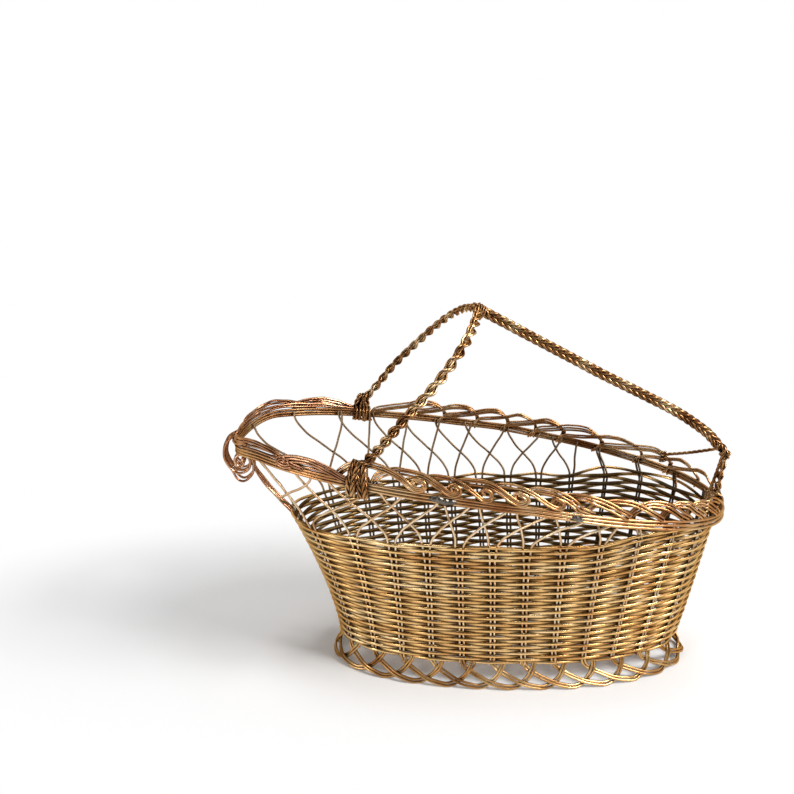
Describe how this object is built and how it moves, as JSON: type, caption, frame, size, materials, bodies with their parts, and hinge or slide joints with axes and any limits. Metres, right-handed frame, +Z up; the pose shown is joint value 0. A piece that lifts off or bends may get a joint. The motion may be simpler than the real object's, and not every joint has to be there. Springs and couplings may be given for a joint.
{
  "type": "wine bottle basket",
  "caption": "Long oval woven-wire basket that lays a bottle down for pouring, with an open lattice rim, a scrolled lip, a looped wire foot and a tall rope handle.",
  "frame": {"origin": "on the table, under the middle of the whole basket's box", "axes": "+X toward the rear, away from the pouring lip; +Y to the basket's far side; +Z up"},
  "size_m": [0.2544, 0.1164, 0.1868],
  "materials": {
    "weave": "drawn wire with a warm gold lacquer, satin, darker between the rows",
    "stakes": "drawn wire with a warm gold lacquer, satin",
    "border": "drawn wire with a coppery gold lacquer, satin, tarnished in the crossings",
    "rim": "drawn wire with a coppery bronze lacquer, satin, a little tarnished",
    "handle": "twisted and plaited wire with an aged bronze lacquer"
  },
  "bodies": {
    "root": {"woven_wall": "weave", "floor": "weave", "foot_border_first": "border", "foot_border_second": "border", "stake_top_00": "stakes", "stake_top_01": "stakes", "stake_top_02": "stakes", "stake_top_03": "stakes", "stake_top_04": "stakes", "stake_top_05": "stakes", "stake_top_06": "stakes", "stake_top_07": "stakes", "stake_top_08": "stakes", "stake_top_09": "stakes", "stake_top_10": "stakes", "stake_top_11": "stakes", "stake_top_12": "stakes", "stake_top_13": "stakes", "stake_top_14": "stakes", "stake_top_15": "stakes", "stake_top_16": "stakes", "stake_top_17": "stakes", "stake_top_18": "stakes", "stake_top_19": "stakes", "stake_top_20": "stakes", "stake_top_21": "stakes", "stake_top_22": "stakes", "stake_top_23": "stakes", "stake_top_24": "stakes", "stake_top_25": "stakes", "stake_top_26": "stakes", "rim_ring_0": "rim", "rim_ring_1": "rim", "rim_ring_2": "rim", "rim_chain_far": "rim", "rim_chain_near": "rim", "spout_wire_0": "rim", "spout_wire_1": "rim", "spout_scroll_0": "rim", "spout_scroll_1": "rim", "spout_scroll_2": "rim", "lashing_far": "handle", "lashing_near": "handle", "lashing_rear": "handle", "crown_wrap": "handle", "handle_leg_far": "handle", "handle_leg_near": "handle", "handle_top_rope": "handle", "rear_knot": "handle", "drop_rope": "handle", "stay_far": "handle", "stay_near": "handle"}
  },
  "joints": []
}
